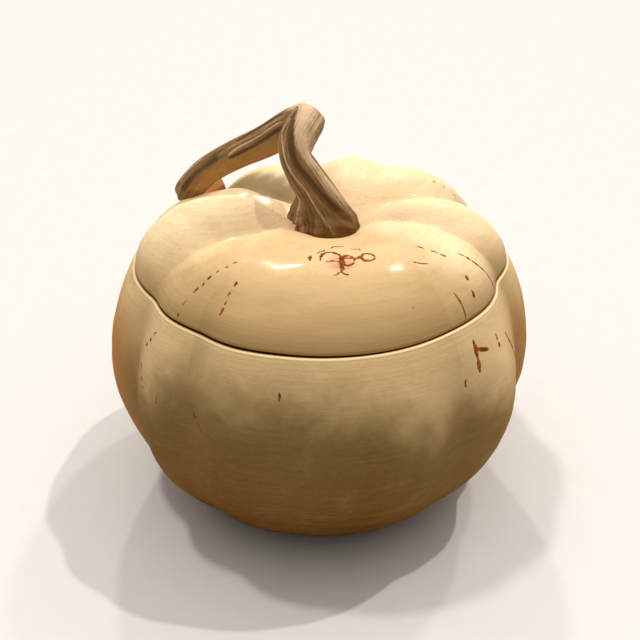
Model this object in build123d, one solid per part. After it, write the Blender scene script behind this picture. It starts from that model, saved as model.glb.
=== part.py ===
"""A lidded ceramic pumpkin jar: a lobed jar, a lobed lid that lifts off, its locating ring and a ribbed stem handle.

The jar stands on Z = 0 with +Z up, its front faces -Y, and the origin is the centre of the foot.
Azimuths are in degrees from the front, positive towards +X. All sizes are in millimetres.
"""

import math
import os

from build123d import *

# Jar
BODY_RADIUS = 141.5  # crest radius at the widest level
WIDEST_Z = 102.0
SEAM_Z = 168.0  # top of the rim, where the lid sits
SHOULDER_HEIGHT = 136.0  # vertical half axis of the ellipse above the widest level
FOOT_RADIUS = 66.0
BELLY_POWER, BELLY_ROOT = 2.1, 0.64  # how fast the wall swells above the foot
CREASE_FADE_Z = 70.0  # the creases fade out from here down to the foot
FADE_POWER = 1.1
WALL = 7.0
FLOOR_Z = 9.0
FLOOR_RADIUS = 68.0  # of the inside
FOOT_RECESS_RADIUS, FOOT_RECESS_DEPTH = 56.0, 2.5

# Lid
LID_INSET = 2.0  # the lid's edge stands this far inside the rim's outer edge
LID_GAP = 0.3  # between the rim and the lid's edge
LID_WALL = 6.0
DOME_HEIGHT = 47.0
DOME_POWER, DOME_ROOT = 2.8, 0.56  # fullness of the dome's shoulder
DIMPLE_DEPTH, DIMPLE_WIDTH = 30.0, 36.0
DIMPLE_SHIFT = Vector(7.0, -4.0)  # the dimple and the stem stand off the jar's axis
CREST_SHARE = 0.7  # share of the way from the seam to the centre where the creases start to fade
CAP_SHARE = 0.92  # the dome closes with a small flat cap, which the stem covers
TURN_SHARE = 0.5  # from the seam to here the creases turn from sinking inwards to sinking downwards
CROWN_SHARE = 0.8  # from the seam to here their depths change from the seam's to the lid's

# Locating ring under the lid
RING_CLEARANCE = 2.0  # to the jar's mouth
RING_WALL = 4.5
RING_DROP = 10.0  # below the seam
RING_RISE = 24.0  # above the seam, before the lid's inside trims it

# Creases between the lobes: azimuth, then the depth on the jar, at the seam and on the lid, then how far the
# crest of the lobe after it stands back at the seam and on the lid. None is a crease that isn't there.
CREASES = [
    (-139.0, 9.0, 9.0, 19.0, 0.0, 8.5),
    (-103.0, 4.0, 3.0, 11.0, 2.0, -6.5),
    (-60.0, 8.0, 6.0, 11.5, 2.5, 9.0),
    (-36.0, 6.0, 3.0, None, 0.0, 0.0),
    (-10.5, 2.0, 0.5, None, 0.0, 0.0),
    (39.0, 6.0, 1.5, None, 1.5, 0.0),
    (72.5, 9.0, 6.0, 8.5, 0.0, 1.0),
    (109.0, 8.0, 7.0, 9.0, 0.0, -1.5),
    (149.0, 8.0, 7.0, 2.5, 0.0, 0.0),
    (185.0, 8.0, 6.0, 12.0, 0.0, 8.5),
]
JAR, SEAM, LID = 1, 2, 3
CREST_COLUMN = {SEAM: 4, LID: 5}
# Dips in the lid's left lobes, and a rise where the depth is negative: the middle in plan, depth and width.
LID_DIPS = [(-86.0, 50.0, 7.0, 23.0), (-86.0, -6.0, -2.5, 26.0)]
CREASE_REACH = 22.0  # degrees either side of a crease over which its lobes roll into it
CREASE_POWER = 2.3
LOBE_FRACTIONS = (0, 0.08, 0.2, 0.35, 0.5, 0.65, 0.8, 0.92, 1)

# Stem: points on its centre line with the radius there
STEM = [
    (5, -4, 172, 20.5),
    (5, -4, 186, 19.5),
    (4, -4, 197, 16.5),
    (0.5, -4, 207, 13.5),
    (-4.8, -4, 218, 12.0),
    (-10.8, -4.5, 229, 11.0),
    (-15.3, -4, 239, 10.0),
    (-14.5, 1, 246.5, 11.2),
    (-10.5, 8, 252, 11.6),
    (-9, 15, 253.5, 11.4),
    (-19, 24, 247.2, 10.7),
    (-36, 34, 234.5, 10.2),
    (-55, 45, 221.2, 9.9),
    (-74, 56, 206.8, 9.6),
    (-84, 62, 196.5, 9.5),
    (-91.8, 68.5, 185, 9.3),
    (-90.5, 77.5, 178.5, 9.0),
    (-81, 84, 178.5, 8.2),
    (-70.5, 88, 182, 6.6),
]
STEM_RIBS = 5
STEM_RIB_HEIGHT = 0.1  # share of the radius
STEM_TWIST = 200.0  # degrees from end to end
STEM_SECTIONS = 34
SECTION_POINTS = 30


def lobes_of(level):
    """Each lobe at a level: where it starts and ends, the depths of both creases, and its crest's."""
    creases = [c for c in CREASES if c[level] is not None]
    found = []
    for start, end in zip(creases, creases[1:] + creases[:1]):
        turn = 360 if end[0] < start[0] else 0
        crest = start[CREST_COLUMN[level]] if level in CREST_COLUMN else 0
        found.append((start[0], end[0] + turn, start[level], end[level], crest))
    return found


LOBES = {level: lobes_of(level) for level in (JAR, SEAM, LID)}


def mix(a, b, share):
    share = min(max(share, 0), 1)
    return a + (b - a) * share


def ease(share):
    """From 0 to 1 with a soft start and end."""
    share = min(max(share, 0), 1)
    return share * share * (3 - 2 * share)


def inset(azimuth, level):
    """How far the surface lies inside the full round form."""
    first = LOBES[level][0][0]
    azimuth = (azimuth - first) % 360 + first
    for start, end, start_depth, end_depth, crest in LOBES[level]:
        if azimuth <= end:
            break
    depth = start_depth if azimuth - start < end - azimuth else end_depth
    away = min(azimuth - start, end - azimuth)
    roll = max(0, 1 - away / min(CREASE_REACH, (end - start) / 2)) ** CREASE_POWER
    return crest + (depth - crest) * roll


def polar(azimuth, radius, z, centre=Vector(0, 0)):
    angle = math.radians(azimuth)
    return Vector(centre.X + radius * math.sin(angle), centre.Y - radius * math.cos(angle), z)


def swell(z, low_z, low_radius, high_radius):
    """Radius of the belly between its lowest level and the widest one."""
    share = (z - low_z) / (WIDEST_Z - low_z)
    return low_radius + (high_radius - low_radius) * (1 - (1 - share) ** BELLY_POWER) ** BELLY_ROOT


def shoulder(z, radius):
    return radius * math.sqrt(1 - ((z - WIDEST_Z) / SHOULDER_HEIGHT) ** 2)


def jar_radius(z):
    return swell(z, 0, FOOT_RADIUS, BODY_RADIUS) if z < WIDEST_Z else shoulder(z, BODY_RADIUS)


def jar_inside_radius(z):
    if z < WIDEST_Z:
        return swell(z, FLOOR_Z, FLOOR_RADIUS, BODY_RADIUS - WALL)
    return shoulder(z, BODY_RADIUS) - WALL


def ring(point):
    """A closed wire through point(azimuth), with an edge from each crease to the next."""
    edges = []
    for start, end, *_ in LOBES[JAR]:
        edges.append(Spline(*[point(mix(start, end, f)) for f in LOBE_FRACTIONS]))
    return Wire(edges)


def jar_ring(z, radius):
    """A level section of the jar, outside or inside."""
    seam_share = (z - WIDEST_Z) / (SEAM_Z - WIDEST_Z)
    fade = min(max(z, 0) / CREASE_FADE_Z, 1) ** FADE_POWER

    def point(azimuth):
        depth = mix(inset(azimuth, JAR), inset(azimuth, SEAM), seam_share)
        return polar(azimuth, radius - fade * depth, z)

    return ring(point)


RIM_RADIUS = jar_radius(SEAM_Z)
LID_RADIUS = RIM_RADIUS - LID_INSET
MOUTH_RADIUS = jar_inside_radius(SEAM_Z)


def dome(share):
    """Radius and height of the lid's crest line, from the seam at 0 to the centre at 1."""
    radius = LID_RADIUS * math.cos(share * math.pi / 2)
    full = DOME_HEIGHT * (1 - (radius / LID_RADIUS) ** DOME_POWER) ** DOME_ROOT
    return radius, SEAM_Z + LID_GAP + full - DIMPLE_DEPTH * math.exp(-((radius / DIMPLE_WIDTH) ** 2))


def dome_inside(share):
    """The same, one wall further in, square to the crest line. It starts level with the seam."""
    radius, z = dome(share)
    step = 0.01
    before, after = dome(max(share - step, 0)), dome(min(share + step, 1))
    along = Vector(after[0] - before[0], after[1] - before[1]).normalized()
    if share == 0:
        along = Vector(0, 1)
    return radius - LID_WALL * along.Y, z + LID_WALL * along.X


def lid_ring(share, profile):
    """A ring round the lid's dome. Its creases sink inwards at the seam and downwards on the crown."""
    radius, z = profile(share)
    fade = ease((CAP_SHARE - share) / (CAP_SHARE - CREST_SHARE))
    turn = ease(share / TURN_SHARE) * math.pi / 2
    centre = DIMPLE_SHIFT * share**2

    def point(azimuth):
        depth = fade * mix(inset(azimuth, SEAM), inset(azimuth, LID), ease(share / CROWN_SHARE))
        place = polar(azimuth, radius - depth * math.cos(turn), z - depth * math.sin(turn), centre)
        for x, y, dip, width in LID_DIPS:
            near = math.exp(-((place.X - x) ** 2 + (place.Y - y) ** 2) / width**2)
            place.Z -= fade * math.sin(turn) * dip * near
        return place

    return ring(point)


def jar_body():
    outside_levels = (0, 3, 9, 20, 38, 62, 84, WIDEST_Z, 122, 146, SEAM_Z)
    inside_levels = (FLOOR_Z, 12, 18, 28, 44, 64, 84, WIDEST_Z, 122, 146, SEAM_Z)
    outside = Solid.make_loft([jar_ring(z, jar_radius(z)) for z in outside_levels])
    inside = Solid.make_loft([jar_ring(z, jar_inside_radius(z)) for z in inside_levels])
    recess = Pos(0, 0, FOOT_RECESS_DEPTH / 2) * Cylinder(FOOT_RECESS_RADIUS, FOOT_RECESS_DEPTH)
    return outside - inside - recess


def lid_solids():
    """The lid's outer form and the space inside it, both closed at the seam."""
    shares = (0, 0.07, 0.16, 0.27, 0.39, 0.51, 0.62, 0.72, 0.8, 0.87, CAP_SHARE)
    return [Solid.make_loft([lid_ring(s, profile) for s in shares]) for profile in (dome, dome_inside)]


def locating_ring(space_inside_lid):
    """A scalloped collar that keys into the jar's mouth, trimmed to the lid's underside."""
    outer = MOUTH_RADIUS - RING_CLEARANCE

    def wall(radius, low, high):
        sections = []
        for z in (low, high):
            flat = jar_ring(SEAM_Z, radius)
            sections.append(flat.moved(Location((0, 0, z - SEAM_Z))))
        return Solid.make_loft(sections, ruled=True)

    def collar(low, high):
        return wall(outer, low, high) - wall(outer - RING_WALL, low, high)

    above = collar(SEAM_Z + LID_GAP, SEAM_Z + RING_RISE) & space_inside_lid
    return above + collar(SEAM_Z - RING_DROP, SEAM_Z + LID_GAP)


def stem_handle(lid_form):
    """A twisted, ribbed stem that stands in the dimple and lies down on the back left of the lid."""
    line = Spline(*[Vector(*p[:3]) for p in STEM])
    lengths = [0.0]
    for a, b in zip(STEM, STEM[1:]):
        lengths.append(lengths[-1] + (Vector(*b[:3]) - Vector(*a[:3])).length)

    def radius_at(share):
        wanted = share * lengths[-1]
        for i, far in enumerate(lengths[1:]):
            if wanted <= far:
                return mix(STEM[i][3], STEM[i + 1][3], (wanted - lengths[i]) / (far - lengths[i]))
        return STEM[-1][3]

    side = Vector(1, 0, 0)
    sections = []
    for i in range(STEM_SECTIONS + 1):
        share = i / STEM_SECTIONS
        centre, along = line @ share, line % share
        side = (side - along * side.dot(along)).normalized()
        across = along.cross(side)
        points = []
        for k in range(SECTION_POINTS):
            angle = 2 * math.pi * k / SECTION_POINTS
            rib = math.cos(STEM_RIBS * (angle - math.radians(STEM_TWIST * share)))
            r = radius_at(share) * (1 + STEM_RIB_HEIGHT * rib)
            points.append(centre + side * (r * math.cos(angle)) + across * (r * math.sin(angle)))
        sections.append(Wire([Spline(*points, periodic=True)]))
    return Solid.make_loft(sections) - lid_form


def main():
    os.makedirs("parts", exist_ok=True)
    lid_form, lid_space = lid_solids()
    pieces = {
        "jar_body": jar_body(),
        "lid_shell": lid_form - lid_space,
        "lid_locating_ring": locating_ring(lid_space),
        "stem_handle": stem_handle(lid_form),
    }
    for name, piece in pieces.items():
        export_step(piece, f"parts/{name}.step")


main()
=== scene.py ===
"""A lidded ceramic pumpkin jar: finished meshes, glazes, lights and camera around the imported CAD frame.

Lengths are in millimetres until a mesh is made, and Blender gets metres. Azimuths are in degrees from the
front (-Y), positive towards +X, as in the CAD.
"""

import math

import bpy
import numpy as np
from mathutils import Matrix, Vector
from mathutils.bvhtree import BVHTree


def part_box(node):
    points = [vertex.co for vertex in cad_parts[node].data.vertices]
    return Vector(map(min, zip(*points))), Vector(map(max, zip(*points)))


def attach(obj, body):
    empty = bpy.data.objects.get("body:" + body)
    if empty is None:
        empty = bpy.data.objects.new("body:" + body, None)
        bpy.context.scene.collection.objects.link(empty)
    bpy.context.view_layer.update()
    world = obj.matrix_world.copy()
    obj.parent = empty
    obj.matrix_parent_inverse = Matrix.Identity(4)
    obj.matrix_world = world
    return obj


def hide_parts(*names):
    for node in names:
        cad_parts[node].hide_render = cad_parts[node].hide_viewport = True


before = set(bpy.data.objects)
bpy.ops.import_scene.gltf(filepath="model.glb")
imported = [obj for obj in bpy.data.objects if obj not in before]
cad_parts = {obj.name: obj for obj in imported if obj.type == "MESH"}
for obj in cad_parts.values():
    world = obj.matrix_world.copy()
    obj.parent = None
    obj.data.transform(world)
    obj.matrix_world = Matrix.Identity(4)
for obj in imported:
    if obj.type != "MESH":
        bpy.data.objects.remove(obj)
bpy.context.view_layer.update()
MM = 0.001


def top_of(node):
    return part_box(node)[1][2] / MM


# ---------------------------------------------------------------- the shape, as the CAD holds it

BODY_RADIUS = 141.5
WIDEST_Z = 102.0
SEAM_Z = top_of("jar_body")
SHOULDER_HEIGHT = 136.0
FOOT_RADIUS = 66.0
BELLY_POWER, BELLY_ROOT = 2.1, 0.64
CREASE_FADE_Z, FADE_POWER = 70.0, 1.1
WALL = 7.0
FLOOR_Z, FLOOR_RADIUS = 9.0, 68.0
RECESS_RADIUS, RECESS_DEPTH = 56.0, 2.5

LID_INSET, LID_GAP, LID_WALL = 2.0, 0.3, 6.0
DOME_HEIGHT, DOME_POWER, DOME_ROOT = 47.0, 2.8, 0.56
DIMPLE_DEPTH, DIMPLE_WIDTH = 30.0, 36.0
DIMPLE_SHIFT = (7.0, -4.0)
CREST_SHARE, CAP_SHARE = 0.7, 0.92
TURN_SHARE, CROWN_SHARE = 0.5, 0.8

# Azimuth of a crease, its depth on the jar, at the seam and on the lid, then how far the crest of the lobe
# after it stands back at the seam and on the lid. None is a crease that isn't there.
CREASES = [
    (-139.0, 9.0, 9.0, 19.0, 0.0, 8.5),
    (-103.0, 4.0, 3.0, 11.0, 2.0, -6.5),
    (-60.0, 8.0, 6.0, 11.5, 2.5, 9.0),
    (-36.0, 6.0, 3.0, None, 0.0, 0.0),
    (-10.5, 2.0, 0.5, None, 0.0, 0.0),
    (39.0, 6.0, 1.5, None, 1.5, 0.0),
    (72.5, 9.0, 6.0, 8.5, 0.0, 1.0),
    (109.0, 8.0, 7.0, 9.0, 0.0, -1.5),
    (149.0, 8.0, 7.0, 2.5, 0.0, 0.0),
    (185.0, 8.0, 6.0, 12.0, 0.0, 8.5),
]
# Dips in the lid's left lobes, and a rise where the depth is negative: the middle in plan, depth and width.
LID_DIPS = [(-86, 50, 7, 23), (-86, -6, -2.5, 26)]
JAR, SEAM, LID = 1, 2, 3  # the columns with the depths
CREST_COLUMN = {SEAM: 4, LID: 5}
CREASE_REACH, CREASE_POWER = 22.0, 2.3
SOFTNESS = {JAR: 2.6, SEAM: 3.2, LID: 6.0}  # degrees; how far glaze rounds the bottom of each crease

AROUND = 540  # points round the jar and lid
RIM_ROUNDING, LID_ROUNDING = 1.1, 1.4
RIM_TONE, LID_EDGE_TONE = 2.2, 5.0  # how far the edges' tones run down from the rim and up the lid: the rim's pale band and painted highlight, the painted shade in the mouth, and the amber
LIP_WARP, LIP_WARP_AZIMUTH, LIP_WARP_WIDTH, LIP_WARP_RISE = 0.9, -26.0, 38.0, 4.0
LID_INNER_ROWS, LID_OUTER_ROWS = 60, 150
DOME_END = 0.985  # the last row of the dome, before its centre point
# How the fired clay wanders: waves of a height, a wavelength and a seed.
JAR_WANDER = [(0.35, 55, 3), (0.07, 14, 4)]
LID_WANDER = [(0.5, 50, 5), (0.09, 13, 6)]


def mix(a, b, share):
    return a + (b - a) * np.clip(share, 0, 1)


def ease(share):
    share = np.clip(share, 0, 1)
    return share * share * (3 - 2 * share)


def lobes_of(level):
    """Each lobe at a level: where it starts and ends, the depths of both creases, and its crest's."""
    creases = [c for c in CREASES if c[level] is not None]
    found = []
    for start, end in zip(creases, creases[1:] + creases[:1]):
        turn = 360 if end[0] < start[0] else 0
        crest = start[CREST_COLUMN[level]] if level in CREST_COLUMN else 0
        found.append((start[0], end[0] + turn, start[level], end[level], crest))
    return found


def inset(azimuth, level):
    """How far the surface lies inside the full round form, and how deep in a crease it is, from 0 to 1."""
    lobes = np.array(lobes_of(level))
    azimuth = (azimuth - lobes[0, 0]) % 360 + lobes[0, 0]
    which = np.clip(np.searchsorted(lobes[:, 0], azimuth, side="right") - 1, 0, len(lobes) - 1)
    start, end, start_depth, end_depth, crest = lobes[which].T
    depth = np.where(azimuth - start < end - azimuth, start_depth, end_depth)
    away = np.minimum(azimuth - start, end - azimuth)
    away = np.hypot(away, SOFTNESS[level]) - SOFTNESS[level]
    reach = np.minimum(CREASE_REACH, (end - start) / 2)
    roll = np.clip(1 - away / reach, 0, 1) ** CREASE_POWER
    return crest + (depth - crest) * roll, roll * np.clip((depth - crest) / 8, 0, 1)


def swell(z, low_z, low_radius, high_radius):
    share = np.clip((z - low_z) / (WIDEST_Z - low_z), 0, 1)
    return low_radius + (high_radius - low_radius) * (1 - (1 - share) ** BELLY_POWER) ** BELLY_ROOT


def shoulder(z, radius):
    return radius * np.sqrt(1 - ((z - WIDEST_Z) / SHOULDER_HEIGHT) ** 2)


def jar_radius(z):
    return np.where(z < WIDEST_Z, swell(z, 0, FOOT_RADIUS, BODY_RADIUS), shoulder(z, BODY_RADIUS))


def jar_inside_radius(z):
    below = swell(z, FLOOR_Z, FLOOR_RADIUS, BODY_RADIUS - WALL)
    return np.where(z < WIDEST_Z, below, shoulder(z, BODY_RADIUS) - WALL)


RIM_RADIUS = float(jar_radius(np.array(SEAM_Z)))
LID_RADIUS = RIM_RADIUS - LID_INSET
MOUTH_RADIUS = float(jar_inside_radius(np.array(SEAM_Z)))


def dome(share):
    """Radius and height of the lid's crest line, from the seam at 0 to the centre at 1."""
    radius = LID_RADIUS * np.cos(share * math.pi / 2)
    full = DOME_HEIGHT * (1 - np.clip(radius / LID_RADIUS, 0, 1) ** DOME_POWER) ** DOME_ROOT
    return radius, SEAM_Z + LID_GAP + full - DIMPLE_DEPTH * np.exp(-((radius / DIMPLE_WIDTH) ** 2))


def dome_inside(share):
    """The same, one wall further in."""
    step = 0.01
    radius, z = dome(share)
    before, after = dome(np.maximum(share - step, 0)), dome(np.minimum(share + step, 1))
    along = np.array([after[0] - before[0], after[1] - before[1]])
    along = np.where(share > 0, along / np.linalg.norm(along, axis=0), [[0.0], [1.0]])
    return radius - LID_WALL * along[1], z + LID_WALL * along[0]


# ---------------------------------------------------------------- meshes


def unevenness(points, height, wavelength, seed):
    """A gentle hand-made wander: a few seeded waves through space."""
    draw = np.random.default_rng(seed)
    total = np.zeros(len(points))
    count = 14
    for _ in range(count):
        way = draw.normal(size=3)
        way /= np.linalg.norm(way) * wavelength * draw.uniform(0.6, 1.6) / (2 * math.pi)
        total += np.sin(points @ way + draw.uniform(0, 2 * math.pi))
    return total * height / math.sqrt(count / 2)


def new_piece(name, points, faces, body, slot, replaces=(), **attributes):
    """A smooth mesh in metres that rides on a body. Attributes are numbers stored at its points."""
    mesh = bpy.data.meshes.new(name)
    mesh.from_pydata((np.asarray(points) * MM).tolist(), [], faces)
    mesh.shade_smooth()
    for key, values in attributes.items():
        layer = mesh.attributes.new(key, "FLOAT", "POINT")
        layer.data.foreach_set("value", np.asarray(values, dtype=np.float32).ravel())
    piece = bpy.data.objects.new(name, mesh)
    bpy.context.scene.collection.objects.link(piece)
    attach(piece, body)
    if replaces:
        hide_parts(*replaces)
    return piece


def tube_faces(rings, around):
    """Quads between rings of points. Each end closes on a centre point, stored after the rings."""
    faces = []
    for r in range(rings - 1):
        a, b = r * around, (r + 1) * around
        for k in range(around):
            n = (k + 1) % around
            faces.append((a + k, a + n, b + n, b + k))
    first, last = rings * around, rings * around + 1
    end = (rings - 1) * around
    for k in range(around):
        n = (k + 1) % around
        faces.append((first, n, k))
        faces.append((last, end + k, end + n))
    return faces


def azimuths():
    return np.arange(AROUND) * 360.0 / AROUND - 180.0


def sweep_round(profile, ring_of):
    """Rings of points for each row of a profile, with the crease value at each point."""
    rings, creases = [], []
    for row in profile:
        points, crease = ring_of(*row)
        rings.append(points)
        creases.append(crease)
    return np.concatenate(rings), np.concatenate(creases)


def round_ring(radius, z, centre=(0, 0)):
    angle = np.radians(azimuths())
    x = centre[0] + radius * np.sin(angle)
    y = centre[1] - radius * np.cos(angle)
    return np.stack([x, y, z + 0 * angle], axis=1)


def jar_ring(radius, z):
    (jar_depth, jar_roll), (seam_depth, seam_roll) = inset(azimuths(), JAR), inset(azimuths(), SEAM)
    share = (z - WIDEST_Z) / (SEAM_Z - WIDEST_Z)
    fade = np.clip(z / CREASE_FADE_Z, 0, 1) ** FADE_POWER
    depth = fade * mix(jar_depth, seam_depth, share)
    return round_ring(radius - depth, z), fade * mix(jar_roll, seam_roll, share)


def jar_profile():
    """Radius and height from the middle of the recess out over the foot, up the wall, over the rim, and back
    down inside to the middle of the floor. Also how many of them come before the ledge under the lid."""
    recess = [(r, RECESS_DEPTH) for r in (12, 30, 46, 54, RECESS_RADIUS - 0.6)]
    recess += [(RECESS_RADIUS, RECESS_DEPTH - 0.6), (RECESS_RADIUS, 0.5), (RECESS_RADIUS + 0.5, 0)]
    foot = [(60, 0), (FOOT_RADIUS - 1.2, 0), (FOOT_RADIUS - 0.3, 0.3)]
    levels = SEAM_Z * np.linspace(0, 1, 151)[1:] ** 1.3
    outside = [(float(jar_radius(z)), float(z)) for z in levels if z < SEAM_Z - RIM_ROUNDING]
    turns = np.radians(np.linspace(0, 90, 6))
    cut_cos, cut_sin = RIM_ROUNDING * (1 - np.cos(turns)), RIM_ROUNDING * (1 - np.sin(turns))
    lip = [(float(RIM_RADIUS - c), float(SEAM_Z - s)) for c, s in zip(cut_cos, cut_sin)]
    mouth = [(float(MOUTH_RADIUS + s), float(SEAM_Z - c)) for c, s in zip(cut_cos, cut_sin)]
    ledge = [(LID_RADIUS - 0.6, SEAM_Z)]
    inside = [(float(jar_inside_radius(z)), float(z)) for z in np.linspace(SEAM_Z - 3, FLOOR_Z + 2, 64)]
    floor = [(FLOOR_RADIUS + 6, FLOOR_Z + 0.4)] + [(r, FLOOR_Z) for r in (FLOOR_RADIUS - 2, 46, 24, 10)]
    seen = recess + foot + outside + lip
    return seen + ledge + mouth + inside + floor, len(seen)


def jar():
    profile, seen = jar_profile()
    points, crease = sweep_round(profile, jar_ring)
    ends = [(0, 0, RECESS_DEPTH), (0, 0, FLOOR_Z)]
    points = np.concatenate([points, ends])
    crease = np.append(crease, [0, 0])
    radius = np.hypot(points[:, 0], points[:, 1])
    # The fired wall wanders a little, but not where it meets the table or the lid.
    free = np.clip((points[:, 2] - 3) / 15, 0, 1) * np.clip((SEAM_Z - 1 - points[:, 2]) / 12, 0, 1)
    wander = sum(unevenness(points, *waves) for waves in JAR_WANDER) * free
    points[:, :2] *= (1 + wander / np.maximum(radius, 1))[:, None]
    edge = np.clip(1 - (SEAM_Z - points[:, 2]) / RIM_TONE, 0, 1)
    # Past the rows seen from outside, the edge runs negative, which the glaze paints as shade.
    edge[seen * AROUND :] *= -1
    outside = np.arange(len(points)) < seen * AROUND
    faces = tube_faces(len(profile), AROUND)
    shade = {"crease": crease, "edge": edge, "outside": outside}
    return new_piece("jar_glazed", points, faces, "jar", "cream_glaze", ["jar_body"], **shade)


def lip_lift(azimuth):
    """The lid warped in the kiln: its edge stands a little off the rim at the front left."""
    return LIP_WARP * np.exp(-(((azimuth - LIP_WARP_AZIMUTH) / LIP_WARP_WIDTH) ** 2))


def lid_row(share, radius, z):
    """A ring round the dome. Creases sink inwards at the seam and downwards on the crown."""
    azimuth = azimuths()
    (seam_depth, seam_roll), (lid_depth, lid_roll) = inset(azimuth, SEAM), inset(azimuth, LID)
    fade = ease((CAP_SHARE - share) / (CAP_SHARE - CREST_SHARE))
    turn = ease(share / TURN_SHARE) * math.pi / 2
    crown = ease(share / CROWN_SHARE)
    depth = fade * mix(seam_depth, lid_depth, crown)
    low = SEAM_Z + LID_GAP
    base = round_ring(radius - depth * math.cos(turn), 0, [c * share**2 for c in DIMPLE_SHIFT])
    base[:, 2] = z - depth * math.sin(turn) + lip_lift(azimuth) * math.exp(-(z - low) / LIP_WARP_RISE)
    for x, y, dip, width in LID_DIPS:
        near = np.exp(-((base[:, 0] - x) ** 2 + (base[:, 1] - y) ** 2) / width**2)
        base[:, 2] -= fade * math.sin(turn) * dip * near
    return base, fade * mix(seam_roll, lid_roll, crown)


def lid():
    low = SEAM_Z + LID_GAP
    rows, edges = [], []
    for share in np.linspace(DOME_END, 0, LID_INNER_ROWS):
        radius, z = dome_inside(np.array([share]))
        rows.append((share, float(radius[0]), float(z[0])))
        edges.append(0)
    # The lid's two hidden rows at its edge are marked -1, which the glaze paints as shade.
    for radius in (LID_RADIUS - 4, LID_RADIUS - LID_ROUNDING):
        rows.append((0, radius, low))
        edges.append(-1)
    hidden = len(rows)
    for share in np.linspace(0, DOME_END, LID_OUTER_ROWS) ** 1.15:
        radius, z = dome(np.array([share]))
        height = float(z[0]) - low
        tuck = np.clip(1 - height / LID_ROUNDING, 0, 1)
        radius = float(radius[0]) - LID_ROUNDING * (1 - math.sqrt(1 - tuck**2))
        rows.append((share, radius, float(z[0])))
        edges.append(max(0, 1 - height / LID_EDGE_TONE))
    points, crease = sweep_round(rows, lid_row)
    ends = []
    for profile in (dome_inside, dome):
        ends.append((*DIMPLE_SHIFT, float(profile(np.array([0.999]))[1][0])))
    points = np.concatenate([points, ends])
    crease = np.append(crease, [0, 0])
    edge = np.append(np.repeat(edges, AROUND), [0, 0])
    free = np.clip((points[:, 2] - low - 2) / 14, 0, 1)
    points[:, 2] += sum(unevenness(points, *waves) for waves in LID_WANDER) * free
    outside = np.append(np.arange(len(rows) * AROUND) >= hidden * AROUND, [0, 1])
    faces = tube_faces(len(rows), AROUND)
    shade = {"crease": crease, "edge": edge, "outside": outside}
    return new_piece("lid_glazed", points, faces, "lid", "cream_glaze", ["lid_shell"], **shade)


# ---------------------------------------------------------------- the stem

# Points on its centre line with the radius there, from the base in the dimple to the tip at the back left.
STEM = [
    (7, -4, 180, 17.5),
    (7, -4, 186, 17.3),
    (5, -4, 197, 15.5),
    (1, -4, 207, 13.2),
    (-4.8, -4, 218, 11.8),
    (-10.8, -4.5, 229, 10.8),
    (-15.3, -4, 239, 9.8),
    (-14.5, 1, 246.5, 11.2),
    (-10.5, 8, 252, 11.6),
    (-9, 15, 253.5, 11.4),
    (-19, 24, 247.2, 10.7),
    (-36, 34, 234.5, 10.2),
    (-55, 45, 221.2, 9.9),
    (-74, 56, 206.8, 9.6),
    (-84, 62, 196.5, 9.5),
    (-91.8, 68.5, 185, 9.3),
    (-90.5, 77.5, 178.5, 9.0),
    (-81, 84, 178.5, 8.2),
    (-70.5, 88, 182, 6.6),
]
# What winds along the stem: strength, width in degrees, then the angle round the stem at each length.
# The ridges and grooves are cut into its surface, and the pale, dark and underside tracks are in its wash.
RIDGES = [
    (0.14, 22, ((-20, 350), (17, 346), (31, 342), (50, 337), (62, 325), (74, 285), (83, 264),
                (99, 241), (120, 214), (150, 208), (175, 204), (215, 195), (260, 188))),
    (0.11, 8, ((-20, 268), (17, 277), (31, 263), (50, 256), (62, 246), (74, 228),
               (99, 200), (120, 188), (150, 180), (175, 172), (215, 160), (260, 150))),
    (0.09, 8, ((-20, 236), (17, 236), (31, 224), (50, 216), (74, 202),
               (99, 184), (120, 172), (150, 163), (195, 138), (215, 128), (260, 118))),
    (0.07, 9, ((-20, 308), (17, 305), (31, 285), (40, 275))),
    (0.05, 26, ((-20, 170), (50, 160), (99, 136), (150, 118), (215, 100), (260, 90))),
    (0.12, 16, ((-20, 95), (50, 86), (99, 66), (150, 54), (215, 40), (260, 28))),
    (0.10, 14, ((-20, 30), (50, 24), (74, 0), (99, -35), (150, -56), (215, -70), (260, -80))),
    (-0.10, 12, ((10, 322), (31, 303), (50, 290), (62, 274), (74, 254), (91, 228))),
    (-0.06, 6, ((96, 166), (120, 158), (157, 150), (175, 148))),
]
PALE = [
    (1.0, 24, ((8, 352), (31, 345), (50, 337), (62, 324), (74, 287), (83, 264), (91, 254), (105, 234))),
    (0.95, 4.5, ((12, 282), (17, 277), (31, 263), (46, 258), (62, 245), (74, 226), (83, 214))),
    (0.6, 9, ((0, 236), (17, 234), (31, 222), (50, 214), (62, 208), (80, 196))),
    (0.45, 9, ((98, 208), (120, 195), (141, 187), (160, 180))),
    (1.0, 4, ((98, 190), (120, 180), (141, 172), (160, 160))),
    (0.7, 5, ((145, 216), (174, 204), (190, 200), (212, 192))),
    (0.5, 5, ((182, 135), (198, 114), (207, 100), (216, 60))),
    (0.6, 30, ((-12, 178), (14, 186), (30, 190))),
    (0.6, 38, ((58, 366), (66, 350), (74, 330), (83, 312), (97, 288))),
]
DARK = [
    (1.0, 15, ((14, 324), (31, 302), (50, 289), (62, 273), (74, 253), (91, 230))),
    (0.6, 6, ((20, 250), (31, 244), (50, 236), (70, 222))),
    (0.8, 6, ((98, 226), (120, 210), (132, 203), (150, 197))),
    (0.9, 8, ((94, 168), (120, 158), (141, 155), (160, 148))),
    (0.75, 17, ((158, 182), (174, 172), (190, 163), (212, 150))),
    (0.8, 8, ((-12, 200), (14, 202), (28, 206))),
    (0.7, 6, ((-12, 160), (14, 166), (26, 170))),
]
UNDERSIDE = [(1.0, 44, ((84, 104), (120, 104), (170, 106), (205, 98)))]
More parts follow.
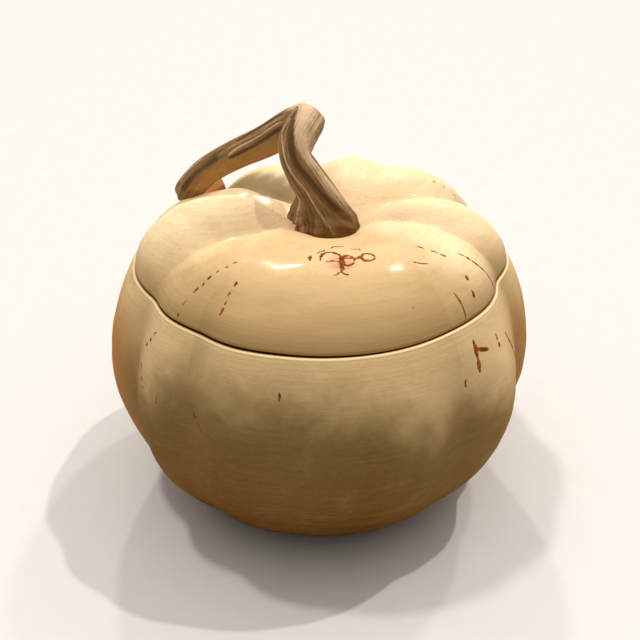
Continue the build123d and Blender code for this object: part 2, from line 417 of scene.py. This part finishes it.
# Where the foot of the stem spreads on to the lid: angle, reach, width in degrees and the length it runs up.
FLANGES = [
    (178, 10, 22, 42),
    (218, 10, 15, 41),
    (247, 5.5, 11, 31),
    (318, 5, 15, 24),
    (8, 2.5, 16, 23),
    (80, 6, 30, 26),
    (286, 4, 44, 25),
]
STEM_AROUND, STEM_STEPS = 180, 400
STEM_CORE = 0.94  # the stem's radius between its ridges, as a share of what the centre line gives


def smooth_path(points, steps):
    """Catmull-Rom curve through points, evenly spaced by length."""
    points = np.asarray(points, float)
    padded = np.concatenate([[2 * points[0] - points[1]], points, [2 * points[-1] - points[-2]]])
    fine = []
    for i in range(1, len(padded) - 2):
        a, b, c, d = padded[i - 1 : i + 3]
        for t in np.linspace(0, 1, 24, endpoint=False):
            square, cube = (2 * a - 5 * b + 4 * c - d) / 2, (3 * b - a - 3 * c + d) / 2
            fine.append(b + (c - a) / 2 * t + square * t**2 + cube * t**3)
    fine = np.array(fine + [points[-1]])
    length = np.concatenate([[0], np.cumsum(np.linalg.norm(np.diff(fine[:, :3], axis=0), axis=1))])
    even = np.linspace(0, length[-1], steps)
    return np.stack([np.interp(even, length, column) for column in fine.T], axis=1), length[-1]


def around_from(angle, middle):
    """Degrees from a middle, from -180 to 180."""
    return (angle - middle + 180) % 360 - 180


def wound(angle, here, tracks, sharpness=1.5):
    """The sum at one length, all round the stem, of what winds along it. Each part fades at its ends."""
    total = np.zeros(len(angle))
    for k, (strength, width, track) in enumerate(tracks):
        lengths, middles = zip(*track)
        ends = ease((here - lengths[0]) / 9) * ease((lengths[-1] - here) / 9)
        middle = np.interp(here, lengths, middles) + 2 * math.sin(here / 8 + k * 2.1)
        swing = 1 + 0.2 * math.sin(here / 11 + k * 1.7)
        total += strength * swing * ends * np.exp(-np.abs(around_from(angle, middle) / width) ** sharpness)
    return total


def tree_of(piece):
    mesh = piece.data
    return BVHTree.FromPolygons([v.co for v in mesh.vertices], [p.vertices for p in mesh.polygons])


def trimmed(points, tree):
    """Points that would come out under the lid, lifted into its wall."""
    for point in points:
        place, _, _, _ = tree.ray_cast(Vector((*point[:2], FAR_ABOVE)) * MM, Vector((0, 0, -1)))
        if place is not None:
            point[2] = max(point[2], place[2] / MM - LID_WALL / 2)
    return points


def stem(lid_piece):
    path, length = smooth_path(STEM, STEM_STEPS)
    centres, radii = path[:, :3], path[:, 3]
    along = np.gradient(centres, axis=0)
    along /= np.linalg.norm(along, axis=1)[:, None]
    angle = np.arange(STEM_AROUND) * 360.0 / STEM_AROUND
    side = np.array([1.0, 0, 0])
    rings = []
    shade = {"pale": [], "dark": [], "underside": [], "length": []}
    for i, here in enumerate(np.linspace(0, length, STEM_STEPS)):
        side = side - along[i] * (side @ along[i])
        side /= np.linalg.norm(side)
        across = np.cross(along[i], side)
        reach = np.zeros(STEM_AROUND)
        for middle, out, width, run in FLANGES:
            rising = (1 - ease((here - run + 11) / 11)) * (0.65 + 0.35 * ease((here - 8) / 14))
            knots = 1 + 0.12 * np.sin(here * 0.9 + angle / 7)
            reach += out * rising * knots * np.exp(-np.abs(around_from(angle, middle) / width) ** 2.2)
        r = radii[i] * (STEM_CORE + wound(angle, here, RIDGES)) + reach
        spread = np.radians(angle)
        rings.append(centres[i] + np.outer(r * np.cos(spread), side) + np.outer(r * np.sin(spread), across))
        shade["pale"].append(wound(angle, here, PALE, 2.2))
        shade["dark"].append(wound(angle, here, DARK, 2.2))
        shade["underside"].append(wound(angle, here, UNDERSIDE, 4))
        shade["length"].append(np.full(STEM_AROUND, here * MM))
    ends = [centres[0], centres[-1] - along[-1] * 1.5]
    points = trimmed(np.concatenate(rings + [ends]), tree_of(lid_piece))
    attributes = {name: np.append(np.concatenate(rows), [0, length * MM]) for name, rows in shade.items()}
    return new_piece(
        "stem_ribbed",
        points,
        tube_faces(STEM_STEPS, STEM_AROUND),
        "lid",
        "brown_stem",
        ["stem_handle"],
        turn=np.append(np.tile(angle / 360, STEM_STEPS), [0, 0]),
        **attributes,
    )


# ---------------------------------------------------------------- marks of bare clay in the glaze

# The crackle is a net of arcs. Each has a width, the middle of its ellipse from the crackle's own middle, the
# ellipse's half axes, and the angles where the arc starts and ends, anticlockwise from +X.
CRACKLE = (12.0, -66.0)
CRACKLE_ARCS = [
    (0.9, 0, -2, 15, 17, 155, 130),
    (1.0, 0, -2, 15, 17, 115, 80),
    (0.8, 0, -2, 16, 16, 68, 42),
    (1.7, -6, -1, 6, 8, 195, 10),
    (1.9, 6, 4, 8, 5, 215, 330),
    (1.8, 16, 0, 4, 4, 0, 360),
    (1.9, 4, -3, 4, 5, -20, 340),
    (2.3, -7, -5, 8, 16, 40, -35),
    (1.3, -5, -6, 5, 3, 20, 140),
    (0.8, -6, -12, 6, 5, 0, -75),
    (1.2, 7, -12, 7, 5, 180, 250),
    (1.5, -17, 0, 1, 3, 90, 250),
]
# Short dashes where the glaze has skipped run in trails. Each trail has its start and its end, as azimuth and
# distance from the axis on the lid or height on the jar, then the number of dashes and their width.
LID_TRAILS = [
    ((-45, 120), (-35, 80), 8, 0.9),
    ((-30, 115), (-30, 95), 4, 1.2),
    ((50, 75), (55, 95), 3, 0.9),
    ((40, 85), (45, 90), 1, 0.8),
    ((60, 95), (65, 120), 1, 1.3),
    ((55, 105), (50, 120), 2, 1.0),
    ((45, 110), (45, 125), 1, 1.4),
    ((120, 85), (115, 105), 3, 1.1),
]
JAR_TRAILS = [
    ((45, 160), (45, 140), 1, 2.2),
    ((45, 155), (50, 150), 1, 1.5),
    ((55, 155), (55, 145), 2, 1.8),
    ((60, 150), (65, 125), 1, 1.2),
    ((40, 140), (40, 135), 1, 1.1),
    ((-50, 160), (-55, 145), 3, 1.0),
    ((-55, 135), (-50, 120), 3, 1.0),
    ((-45, 125), (-45, 120), 1, 1.0),
    ((-35, 130), (-30, 115), 1, 1.4),
    ((-10, 150), (-10, 145), 1, 0.8),
    ((120, 135), (120, 120), 1, 1.2),
    ((-130, 145), (-125, 135), 2, 1.3),
    ((165, 120), (165, 110), 1, 1.0),
]
DASH_BEND = 0.8  # how far a dash's middle may stray sideways
DASH_START = (0, 0.4)  # where a dash starts and how long it is, as shares of its stretch of the trail
DASH_SHARE = (0.15, 0.75)
DASH_WIDTH = (0.7, 1.5)
ARC_WANDER = 0.05  # share of an arc's half axes
MARK_SEED, RAGGED_SEED = 23, 11
MARK_STEP, MARK_SPREAD = 0.5, 1.5
# A mark's strip, across its width: how far out, as a share of half the width, and how far above the glaze.
MARK_SECTION = [(-1.0, -0.05), (-0.55, 0.07), (0.0, 0.0805), (0.55, 0.07), (1.0, -0.05)]
FAR_ABOVE, FAR_OUT = 300, 200  # where the lines that find the lid's and the jar's surfaces start from


def smooth_line(points, step):
    """A smooth line through points in a plane, with points about a step apart."""
    path, length = smooth_path([(*point, 0, 0) for point in points], 400)
    count = max(5, int(length / step) + 1)
    return path[np.linspace(0, 399, count).astype(int)][:, :2]


def draped_marks(name, body, piece, lines, cast):
    """Thin strips that follow a piece's surface, with ragged sides sunk just under it."""
    tree = tree_of(piece)
    draw = np.random.default_rng(RAGGED_SEED)
    points, faces = [], []
    n = len(MARK_SECTION)
    for width, corners in lines:
        line = smooth_line(corners, MARK_STEP)
        way = np.gradient(line, axis=0)
        way /= np.maximum(np.linalg.norm(way, axis=1), 1e-6)[:, None]
        ragged = np.convolve(draw.normal(size=len(line) + 6), np.ones(3) / 3, "same")[3:-3]
        ends = np.sin(np.pi * (np.arange(len(line)) + 0.6) / (len(line) + 0.2)) ** 0.45
        half = MARK_SPREAD * width / 2 * ends * np.clip(1 + 0.45 * ragged, 0.45, 1.7)
        rows = []
        for (u, v), (du, dv), w in zip(line, way, half):
            row = []
            for side, lift in MARK_SECTION:
                origin, aim = cast(u, v, -dv * w * side, du * w * side)
                place, normal, _, _ = tree.ray_cast(Vector(origin) * MM, Vector(aim))
                if place is None:
                    break
                outward = lift if normal.dot(Vector(aim)) < 0 else -lift
                row.append(np.array(place) / MM + np.array(normal) * outward)
            if len(row) == n:
                rows.append(row)
        start = len(points)
        for row in rows:
            points.extend(row)
        for r in range(len(rows) - 1):
            for c in range(n - 1):
                a = start + r * n + c
                faces.append((a, a + 1, a + 1 + n, a + n))
    return new_piece(name, points, faces, body, "cream_glaze")


def down_on_lid(u, v, side_u, side_v):
    """Here the plane is x and y."""
    return (u + side_u, v + side_v, FAR_ABOVE), (0, 0, -1)


def in_on_jar(u, v, side_u, side_v):
    """Here the plane is millimetres round the belly against height."""
    turn = (u + side_u) / BODY_RADIUS
    x, y = math.sin(turn), -math.cos(turn)
    return (FAR_OUT * x, FAR_OUT * y, v + side_v), (-x, -y, 0)


def on_lid(azimuth, distance):
    turn = math.radians(azimuth)
    return np.array((distance * math.sin(turn), -distance * math.cos(turn)))


def on_jar(azimuth, height):
    return np.array((math.radians(azimuth) * BODY_RADIUS, height))


def crackle_lines(draw):
    """The crackle's arcs, each as its width and a slightly wandering line of points in plan."""
    lines = []
    for width, x, y, half_x, half_y, start, end in CRACKLE_ARCS:
        turns = np.radians(np.linspace(start, end, 4 + abs(end - start) // 20))
        sizes = 1 + ARC_WANDER * draw.normal(size=len(turns))
        across = CRACKLE[0] + x + half_x * sizes * np.cos(turns)
        along = CRACKLE[1] + y + half_y * sizes * np.sin(turns)
        lines.append((width, list(zip(across, along))))
    return lines


def trail_lines(trails, place, draw):
    """Each trail's uneven dashes, each as its width and three points. A lone dash fills its trail."""
    lines = []
    for start, end, count, width in trails:
        start, end = place(*start), place(*end)
        sideways = np.array((start[1] - end[1], end[0] - start[0])) / np.linalg.norm(end - start)
        for dash in range(count):
            from_share, share = 0, 1
            if count > 1:
                from_share, share = draw.uniform(*DASH_START), draw.uniform(*DASH_SHARE)
            first = mix(start, end, (dash + from_share) / count)
            last = mix(start, end, (dash + from_share + share) / count)
            middle = (first + last) / 2 + sideways * draw.uniform(-DASH_BEND, DASH_BEND)
            lines.append((width * draw.uniform(*DASH_WIDTH), [first, middle, last]))
    return lines


# ---------------------------------------------------------------- materials


def colour(red, green, blue):
    """Linear colour from 0-255 screen values."""
    linear = []
    for value in (red, green, blue):
        c = value / 255
        linear.append(c / 12.92 if c <= 0.04045 else ((c + 0.055) / 1.055) ** 2.4)
    return (*linear, 1.0)


class Nodes:
    """A short way to write a material's nodes: each call makes one and links or sets its inputs."""

    def __init__(self, name):
        self.material = bpy.data.materials.new(name)
        self.material.use_nodes = True
        self.tree = self.material.node_tree
        self.tree.nodes.clear()

    def add(self, kind, inputs=(), out=0, **settings):
        made = self.tree.nodes.new("ShaderNode" + kind)
        for key, value in settings.items():
            setattr(made, key, value)
        for key, value in dict(inputs).items():
            if isinstance(value, bpy.types.NodeSocket):
                self.tree.links.new(value, made.inputs[key])
            else:
                made.inputs[key].default_value = value
        return made.outputs[out]

    def math(self, operation, a, b=0.0):
        return self.add("Math", {0: a, 1: b}, operation=operation)

    def ramp(self, value, low, high):
        """0 at low and 1 at high, smoothly, and level beyond them. Low may be the larger number."""
        return self.add(
            "MapRange", {"Value": value, "From Min": low, "From Max": high}, interpolation_type="SMOOTHSTEP"
        )

    def mix(self, share, a, b):
        made = self.tree.nodes.new("ShaderNodeMix")
        made.data_type = "RGBA"
        for socket, value in ((made.inputs[0], share), (made.inputs[6], a), (made.inputs[7], b)):
            if isinstance(value, bpy.types.NodeSocket):
                self.tree.links.new(value, socket)
            else:
                socket.default_value = value
        return made.outputs[2]

    def between(self, value, low, high, from_low=0.0, from_high=1.0):
        """Low to high, evenly, as the value goes over its own range."""
        ends = {"From Min": from_low, "From Max": from_high, "To Min": low, "To Max": high}
        return self.add("MapRange", {"Value": value, **ends})

    def scaled(self, value, factor):
        return self.math("MULTIPLY", value, factor)

    def centred(self, value, factor=1.0):
        """A noise about 0 in place of 0.5, then scaled."""
        return self.scaled(self.math("SUBTRACT", value, 0.5), factor)

    def split(self, vector):
        made = self.tree.nodes.new("ShaderNodeSeparateXYZ")
        self.tree.links.new(vector, made.inputs[0])
        return made.outputs[0], made.outputs[1], made.outputs[2]

    def reach(self, x, y, centre):
        """How far, in plan, a point is from a centre given in millimetres."""
        dx, dy = self.math("SUBTRACT", x, centre[0] * MM), self.math("SUBTRACT", y, centre[1] * MM)
        squares = self.math("ADD", self.math("MULTIPLY", dx, dx), self.math("MULTIPLY", dy, dy))
        return self.math("SQRT", squares)

    def bands(self, height, stops):
        """Colours that blend from one height in millimetres to the next."""
        low, high = stops[0][0], stops[-1][0]
        share = self.add("MapRange", {"Value": height, "From Min": low, "From Max": high})
        made = self.tree.nodes.new("ShaderNodeValToRGB")
        self.tree.links.new(share, made.inputs[0])
        ramp = made.color_ramp
        while len(ramp.elements) < len(stops):
            ramp.elements.new(0.5)
        for element, (level, shade) in zip(ramp.elements, stops):
            element.position = (level - low) / (high - low)
            element.color = colour(*shade)
        return made.outputs[0]

    def noise(self, place, scale, detail=3.0, roughness=0.5, distortion=0.0):
        look = {"Scale": scale, "Detail": detail, "Roughness": roughness, "Distortion": distortion}
        return self.add("TexNoise", {"Vector": place, **look})

    def stretched(self, place, scale):
        return self.add("Mapping", {"Vector": place, "Scale": scale})

    def attribute(self, name):
        return self.add("Attribute", out=2, attribute_name=name)

    def finish(self, base, roughness, height=None, bump=0.0, distance=0.001, **shader):
        made = self.tree.nodes.new("ShaderNodeBsdfPrincipled")
        self.tree.links.new(base, made.inputs["Base Color"])
        if isinstance(roughness, bpy.types.NodeSocket):
            self.tree.links.new(roughness, made.inputs["Roughness"])
        else:
            made.inputs["Roughness"].default_value = roughness
        for key, value in shader.items():
            socket = made.inputs[key.replace("_", " ")]
            if isinstance(value, bpy.types.NodeSocket):
                self.tree.links.new(value, socket)
            else:
                socket.default_value = value
        if height is not None:
            normal = self.add("Bump", {"Height": height, "Strength": bump, "Distance": distance})
            self.tree.links.new(normal, made.inputs["Normal"])
        out = self.tree.nodes.new("ShaderNodeOutputMaterial")
        self.tree.links.new(made.outputs[0], out.inputs["Surface"])
        return self.material


# The glaze from foot to lid, as height in millimetres and colour: down the front, and down the flanks. Both
# hold painted shade: darker and browner towards the foot, darker on the front than on the flanks, and darker
# at the lid's lower edge than on its top.
FRONT_SHADED_BANDS = [
    (16, (88, 52, 18)),
    (34, (98, 62, 22)),
    (56, (112, 76, 32)),
    (84, (118, 86, 40)),
    (112, (118, 95, 52)),
    (128, (128, 107, 64)),
    (140, (160, 136, 92)),
    (152, (196, 168, 121)),
    (164, (218, 189, 141)),
    (172, (176, 147, 99)),
    (181, (184, 154, 108)),
    (190, (192, 162, 116)),
    (198, (208, 178, 132)),
    (206, (232, 205, 160)),
    (214, (242, 218, 175)),
]
FLANK_SHADED_BANDS = [
    (16, (112, 72, 34)),
    (34, (136, 96, 52)),
    (60, (150, 112, 66)),
    (92, (150, 116, 68)),
    (112, (142, 113, 68)),
    (128, (156, 127, 82)),
    (140, (190, 160, 114)),
    (152, (220, 190, 143)),
    (164, (234, 205, 157)),
    (172, (188, 157, 112)),
    (178, (206, 176, 130)),
    (184, (230, 202, 158)),
    (190, (242, 216, 172)),
    (198, (248, 224, 182)),
]
# Orange for the flanks: a painted warm reflection.
FLANK_WARM_REFLECTION = (186, 128, 68)
# The mottling's colour, which also paints shade in the creases.
MOTTLE_AND_CREASE_SHADE = (170, 134, 88)
# Painted shade where the creases meet the seam.
CREASE_SHADE_AT_SEAM = (112, 88, 50)
# The rim's pale edge: glaze breaking pale, with a painted highlight.
RIM_PALE_AND_HIGHLIGHT = (248, 226, 178)
AMBER = (160, 118, 56)
# Painted shade and a painted reflection of the stem, in the dimple.
DIMPLE_SHADE_AND_REFLECTION = (226, 184, 146)
SPECK = (96, 60, 34)
SHADED = (80, 52, 29)
# The colour of the stem's painted shadow on the lid.
STEM_SHADOW_OLIVE = (104, 92, 58)
# In plan on the lid: points along the stem's painted shadow in the valley behind the stem, and the stain
# under the crackle.
STEM_SHADOW_LINE = [(-55.0, 70.0), (-45.0, 60.0), (-34.0, 48.0), (-24.0, 36.0)]
STAIN = (12.0, -71.0)
STAIN_PINK = (196, 128, 92)


def glaze():
    n = Nodes("cream_glaze_over_terracotta")
    place = n.add("TexCoord", out=3)
    x, y, z = n.split(place)
    around = n.add("VectorMath", {0: n.add("CombineXYZ", {0: x, 1: y, 2: 0.0})}, operation="NORMALIZE")
    side, depth, _ = n.split(around)
    millimetres = n.math("MULTIPLY", z, 1000.0)
    # Painted shade darkens the lower glaze and ends in a ragged, blotchy line, which dips to the right of the
    # front.
    blotch = n.math("SUBTRACT", n.noise(place, 24, 5, 0.55, 0.5), 0.5)
    ragged = n.math("SUBTRACT", n.noise(place, 95, 4, 0.6), 0.5)
    belly = n.math("SUBTRACT", 1.0, n.ramp(z, 0.150, 0.172))
    dip = n.math("ADD", n.scaled(n.ramp(side, 0.2, 0.5), 28), n.scaled(n.ramp(side, -0.55, -0.85), 14))
    dip = n.math("SUBTRACT", dip, n.scaled(n.ramp(side, 0.5, 0.62), 9))
    dip = n.math("ADD", dip, n.scaled(n.ramp(side, 0.72, 0.9), 16))
    lift = n.math("ADD", n.math("ADD", n.scaled(blotch, 36), n.scaled(ragged, 16)), dip)
    height = n.math("ADD", millimetres, n.math("MULTIPLY", lift, belly))
    height = n.math("MINIMUM", height, n.math("MAXIMUM", millimetres, 164.0))
    front = n.ramp(n.math("ADD", depth, n.scaled(blotch, 0.5)), -0.42, -0.82)
    base = n.mix(front, n.bands(height, FLANK_SHADED_BANDS), n.bands(height, FRONT_SHADED_BANDS))
    # A painted warm reflection, orange, on both flanks of the body.
    flank = n.ramp(n.math("ADD", n.math("ABSOLUTE", side), n.scaled(blotch, 0.3)), 0.80, 0.985)
    level = n.math("ADD", z, n.scaled(blotch, 0.05))
    low = n.math("MULTIPLY", n.ramp(level, 0.015, 0.07), n.ramp(level, 0.178, 0.12))
    base = n.mix(n.scaled(n.math("MULTIPLY", flank, low), 0.95), base, colour(*FLANK_WARM_REFLECTION))
    # Painted shade darkens the creases, most where they meet the seam, and a rose tint of painted shade and
    # stem reflection lies in the dimple.
    crease = n.attribute("crease")
    base = n.mix(n.scaled(crease, 0.3), base, colour(*MOTTLE_AND_CREASE_SHADE))
    near_seam = n.math("MULTIPLY", n.ramp(z, 0.200, 0.180), n.ramp(z, 0.030, 0.080))
    base = n.mix(n.scaled(n.math("MULTIPLY", crease, near_seam), 0.5), base, colour(*CREASE_SHADE_AT_SEAM))
    hollow = n.math("SUBTRACT", 1.0, n.ramp(n.reach(x, y, DIMPLE_SHIFT), 0.026, 0.062))
    tint = n.math("MULTIPLY", n.math("MULTIPLY", hollow, n.ramp(z, 0.175, 0.185)), n.noise(place, 30, 3))
    base = n.mix(n.scaled(tint, 0.7), base, colour(*DIMPLE_SHADE_AND_REFLECTION))
    # The stem's painted shadow lies olive in the valley behind the stem.
    stem_shadow = n.reach(x, y, STEM_SHADOW_LINE[0])
    for middle in STEM_SHADOW_LINE[1:]:
        stem_shadow = n.math("MINIMUM", stem_shadow, n.reach(x, y, middle))
    stem_shadow = n.math("SUBTRACT", 1.0, n.ramp(n.math("ADD", stem_shadow, n.scaled(ragged, 0.01)), 0.008, 0.019))
    top = n.math("MULTIPLY", n.attribute("outside"), n.ramp(z, 0.172, 0.176))
    base = n.mix(n.scaled(n.math("MULTIPLY", stem_shadow, top), 0.7), base, colour(*STEM_SHADOW_OLIVE))
    # A stain under the crackle on the front of the lid.
    stain = n.math("ADD", n.reach(x, y, STAIN), n.scaled(ragged, 0.008))
    stain = n.math("SUBTRACT", 1.0, n.ramp(stain, 0.004, 0.011))
    base = n.mix(n.scaled(n.math("MULTIPLY", stain, top), 0.6), base, colour(*STAIN_PINK))
    # Level brush marks, soft clouds and fine mottling.
    streaks = n.noise(n.stretched(place, (16, 16, 420)), 1.0, 4, 0.6)
    base = n.mix(n.scaled(n.ramp(streaks, 0.42, 0.75), 0.14), base, colour(*MOTTLE_AND_CREASE_SHADE))
    cloud = n.noise(place, 55, 5, 0.65)
    base = n.mix(n.scaled(n.ramp(cloud, 0.5, 0.75), 0.16), base, colour(*MOTTLE_AND_CREASE_SHADE))
    wrinkles = n.noise(n.stretched(place, (150, 150, 900)), 1.0, 3, 0.6)
    base = n.mix(n.scaled(n.ramp(wrinkles, 0.46, 0.66), 0.09), base, colour(*MOTTLE_AND_CREASE_SHADE))
    mottle = n.noise(place, 700, 3, 0.6)
    base = n.mix(n.scaled(n.ramp(mottle, 0.5, 0.8), 0.22), base, colour(*MOTTLE_AND_CREASE_SHADE))
    # Sparse iron specks.
    cells = n.tree.nodes.new("ShaderNodeTexVoronoi")
    n.tree.links.new(place, cells.inputs["Vector"])
    cells.inputs["Scale"].default_value = 75
    chosen = n.ramp(n.split(cells.outputs["Color"])[0], 0.93, 0.97)
    dot = n.math("MULTIPLY", n.ramp(cells.outputs["Distance"], 0.13, 0.07), chosen)
    base = n.mix(n.scaled(dot, 0.7), base, colour(*SPECK))
    # The rim breaks pale, with a painted highlight, the lid's lower edge is amber, and the hidden ledge
    # between them gets painted shade.
    edge = n.attribute("edge")
    rim = n.math("LESS_THAN", millimetres, SEAM_Z + 0.05)
    base = n.mix(n.ramp(edge, -0.05, -0.5), base, colour(*SHADED))
    base = n.mix(n.scaled(n.math("MULTIPLY", n.ramp(edge, 0.45, 0.85), rim), 0.9), base, colour(*RIM_PALE_AND_HIGHLIGHT))
    lower_edge = n.math("MULTIPLY", n.ramp(edge, 0.35, 0.6), n.math("SUBTRACT", 1.0, rim))
    base = n.mix(n.scaled(lower_edge, 0.85), base, colour(*AMBER))
    rough = n.between(cloud, 0.24, 0.34, 0.3, 0.7)
    bumps = n.math("ADD", n.scaled(streaks, 0.7), n.math("ADD", n.scaled(mottle, 0.12), n.scaled(cloud, 0.9)))
    bumps = n.math("ADD", bumps, n.scaled(wrinkles, 0.4))
    # The lid is glossy and the jar is nearly matt. The gloss is all in the coat.
    gloss = n.between(z, 0.03, 0.24, 0.16, 0.18)
    shader = {"Specular_IOR_Level": 0.0, "Coat_Weight": gloss, "Coat_Roughness": 0.16}
    return n.finish(base, rough, bumps, 0.5, 0.0008, **shader)


def bare_clay():
    n = Nodes("bare_red_clay")
    place = n.add("TexCoord", out=3)
    base = n.mix(n.ramp(n.noise(place, 260, 3), 0.35, 0.65), colour(100, 44, 16), colour(156, 84, 40))
    grit = n.noise(place, 1500, 2)
    base = n.mix(n.scaled(n.ramp(grit, 0.55, 0.7), 0.4), base, colour(182, 116, 66))
    rough = n.between(grit, 0.6, 0.8)
    return n.finish(base, rough, grit, 0.3, 0.0003, Specular_IOR_Level=0.1)


STEM_PALE = colour(222, 190, 155)
STEM_MID = colour(156, 123, 82)
STEM_DARK = colour(96, 70, 40)
STEM_UNDER = colour(174, 132, 74)
STEM_CUT = colour(206, 148, 94)
STEM_FOOT = colour(94, 63, 16)


def stem_wash():
    n = Nodes("taupe_stem_wash")
    along, turn = n.attribute("length"), n.attribute("turn")
    place = n.add("TexCoord", out=3)
    lines = n.add("CombineXYZ", {0: n.scaled(turn, 46), 1: n.scaled(along, 26), 2: 0.0})
    fibre = n.noise(lines, 1.0, 5, 0.65)
    grain = n.noise(place, 620, 3, 0.6)
    threads = n.add("CombineXYZ", {0: n.scaled(turn, 150), 1: n.scaled(along, 60), 2: 3.0})
    crack = n.noise(threads, 1.0, 3, 0.6)
    worn = n.math("ADD", n.centred(fibre, 1.3), n.centred(grain, 0.6))
    worn = n.math("ADD", worn, n.centred(crack, 0.8))
    base = n.mix(n.ramp(fibre, 0.3, 0.55), STEM_DARK, STEM_MID)
    base = n.mix(n.scaled(n.ramp(n.attribute("underside"), 0.1, 0.8), 0.85), base, STEM_UNDER)
    base = n.mix(n.ramp(n.math("ADD", n.attribute("dark"), n.scaled(worn, 0.8)), 0.2, 0.75), base, STEM_DARK)
    base = n.mix(n.ramp(n.math("ADD", n.attribute("pale"), worn), 0.35, 0.9), base, STEM_PALE)
    grime = n.noise(place, 90, 4, 0.6)
    base = n.mix(n.scaled(n.ramp(grime, 0.5, 0.75), 0.3), base, STEM_DARK)
    foot = n.ramp(n.math("ADD", along, n.scaled(worn, 0.012)), 0.04, 0.012)
    base = n.mix(n.scaled(foot, 0.85), base, STEM_FOOT)
    base = n.mix(n.scaled(n.ramp(crack, 0.52, 0.3), 0.35), base, STEM_DARK)
    base = n.mix(n.ramp(along, 0.222, 0.232), base, STEM_CUT)
    rough = n.between(fibre, 0.6, 0.8)
    bumps = n.math("ADD", n.math("ADD", fibre, n.scaled(crack, 0.5)), n.scaled(grain, 0.4))
    return n.finish(base, rough, bumps, 0.7, 0.001, Specular_IOR_Level=0.2)


def floor_paint():
    n = Nodes("pale_floor")
    speck = n.noise(n.add("TexCoord", out=3), 60, 3)
    base = n.mix(speck, colour(208, 208, 208), colour(213, 213, 213))
    return n.finish(base, 0.8)


# ---------------------------------------------------------------- stage, lights and camera

FLOOR_REACH, FLOOR_SIDES = 15, 64  # metres from the middle, and the sides of the round floor


def stage_floor():
    mesh = bpy.data.meshes.new("studio_floor")
    turns = np.linspace(0, 2 * math.pi, FLOOR_SIDES, endpoint=False)
    ring = [(FLOOR_REACH * math.cos(a), FLOOR_REACH * math.sin(a), 0) for a in turns]
    mesh.from_pydata(ring, [], [list(range(FLOOR_SIDES))])
    floor = bpy.data.objects.new("studio_floor", mesh)
    bpy.context.scene.collection.objects.link(floor)
    mesh.materials.append(floor_paint())


def lamp(name, azimuth, elevation, strength, spread, tint, glints=True):
    """A studio lamp so far off that its light is even. Its azimuth is from behind the jar (+Y) towards +X,
    and its spread is its width in the sky, which softens the shadows. Without glints it shows in no gloss."""
    data = bpy.data.lights.new(name, "SUN")
    data.energy, data.angle, data.color = strength, math.radians(spread), tint
    light = bpy.data.objects.new(name, data)
    turn, rise = math.radians(azimuth), math.radians(elevation)
    way = Vector((math.sin(turn) * math.cos(rise), math.cos(turn) * math.cos(rise), math.sin(rise)))
    light.location = way * 3
    light.rotation_mode = "QUATERNION"
    light.rotation_quaternion = way.to_track_quat("Z", "Y")
    light.visible_glossy = glints
    bpy.context.scene.collection.objects.link(light)
    return light


def camera():
    """Looks down at the jar as a person does who stands by its table."""
    data = bpy.data.cameras.new("camera")
    data.lens, data.sensor_width = 57.4, 36
    data.shift_y = 0.017
    eye = bpy.data.objects.new("camera", data)
    aim = Vector((0, 0, 0.110))
    tilt, distance = math.radians(32), 0.70
    eye.location = aim + Vector((0, -math.cos(tilt), math.sin(tilt))) * distance
    eye.rotation_mode = "QUATERNION"
    eye.rotation_quaternion = (aim - eye.location).to_track_quat("-Z", "Y")
    bpy.context.scene.collection.objects.link(eye)
    bpy.context.scene.camera = eye


def lighting(solid_pieces):
    world = bpy.data.worlds.new("studio")
    world.use_nodes = True
    tree = world.node_tree
    sky, place = tree.nodes["Background"], tree.nodes.new("ShaderNodeTexCoord")
    axes, rise = tree.nodes.new("ShaderNodeSeparateXYZ"), tree.nodes.new("ShaderNodeMapRange")
    tree.links.new(place.outputs["Generated"], axes.inputs[0])
    tree.links.new(axes.outputs[2], rise.inputs["Value"])
    rise.inputs["From Min"].default_value = 0.3
    rise.inputs["To Min"].default_value = 0.05
    rise.inputs["To Max"].default_value = 1.3
    tree.links.new(rise.outputs[0], sky.inputs["Strength"])
    sky.inputs["Color"].default_value = (1, 0.93, 0.84, 1)
    bpy.context.scene.world = world
    lamp("back_right", 62, 65, 1.1, 1.5, (1, 0.95, 0.88), glints=False)
    fills = [
        lamp("back", -6, 41, 0.65, 3, (1, 0.96, 0.9)),
        lamp("back_high", 32, 50, 0.5, 3, (1, 0.96, 0.9)),
        lamp("back_left", -68, 72, 0.95, 5, (1, 0.95, 0.89), glints=False),
    ]
    # Only one lamp throws the stem's shadow, so that the lid shows a single clear one.
    blockers = bpy.data.collections.new("fill_blockers")
    for piece in solid_pieces:
        blockers.objects.link(piece)
    for light in fills:
        light.light_linking.blocker_collection = blockers


def main():
    jar_piece, lid_piece = jar(), lid()
    stem_piece = stem(lid_piece)
    glazed, washed = glaze(), stem_wash()
    for piece in (jar_piece, lid_piece):
        piece.data.materials.append(glazed)
    stem_piece.data.materials.append(washed)
    clay = bare_clay()
    draw = np.random.default_rng(MARK_SEED)
    lid_lines = crackle_lines(draw) + trail_lines(LID_TRAILS, on_lid, draw)
    jar_lines = trail_lines(JAR_TRAILS, on_jar, draw)
    lid_marks = draped_marks("lid_marks", "lid", lid_piece, lid_lines, down_on_lid)
    jar_marks = draped_marks("jar_marks", "jar", jar_piece, jar_lines, in_on_jar)
    for piece in (lid_marks, jar_marks):
        piece.data.materials.append(clay)
    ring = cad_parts["lid_locating_ring"]
    ring.data.materials.clear()
    ring.data.materials.append(glazed)
    stage_floor()
    lighting([jar_piece, lid_piece])
    camera()
    bpy.context.scene.view_settings.view_transform = "Standard"


main()
